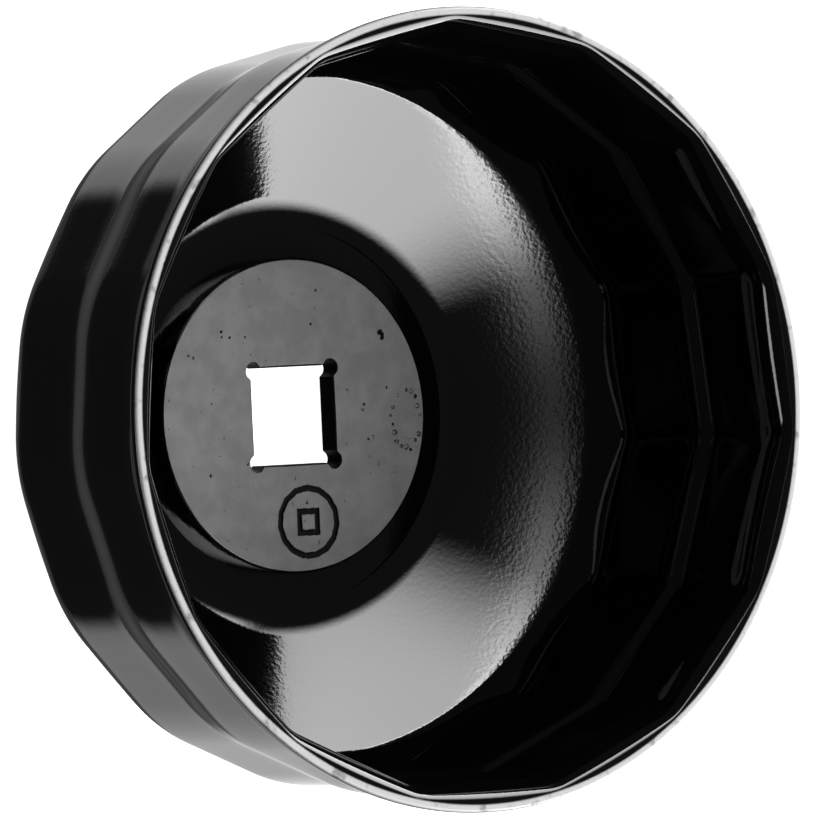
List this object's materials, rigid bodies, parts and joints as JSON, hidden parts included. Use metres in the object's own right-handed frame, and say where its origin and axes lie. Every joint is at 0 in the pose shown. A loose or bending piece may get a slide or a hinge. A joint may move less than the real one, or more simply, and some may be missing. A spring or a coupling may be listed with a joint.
{
  "type": "oil filter wrench",
  "caption": "Pressed steel cup wrench for spin-on oil filters, with stepped rows of inner flats and a welded plate with a square drive hole.",
  "frame": {"origin": "centre of the cup's flat underside", "axes": "+Z along the cup's axis, out of its mouth; +X and +Y square to the drive hole's walls, +X from the hole towards the engraved mark, in line with the middle of a flat"},
  "size_m": [0.0826, 0.0826, 0.0366],
  "materials": {
    "gloss_black_paint": "gloss black paint with a slight orange peel",
    "satin_black_paint": "satin black paint",
    "weld_metal": "spot weld, painted over with the cup"
  },
  "bodies": {
    "root": {"fluted_cup": "gloss_black_paint", "drive_plate": "satin_black_paint", "spot_weld_1": "weld_metal", "spot_weld_2": "weld_metal", "spot_weld_3": "weld_metal", "spot_weld_4": "weld_metal"}
  },
  "joints": []
}
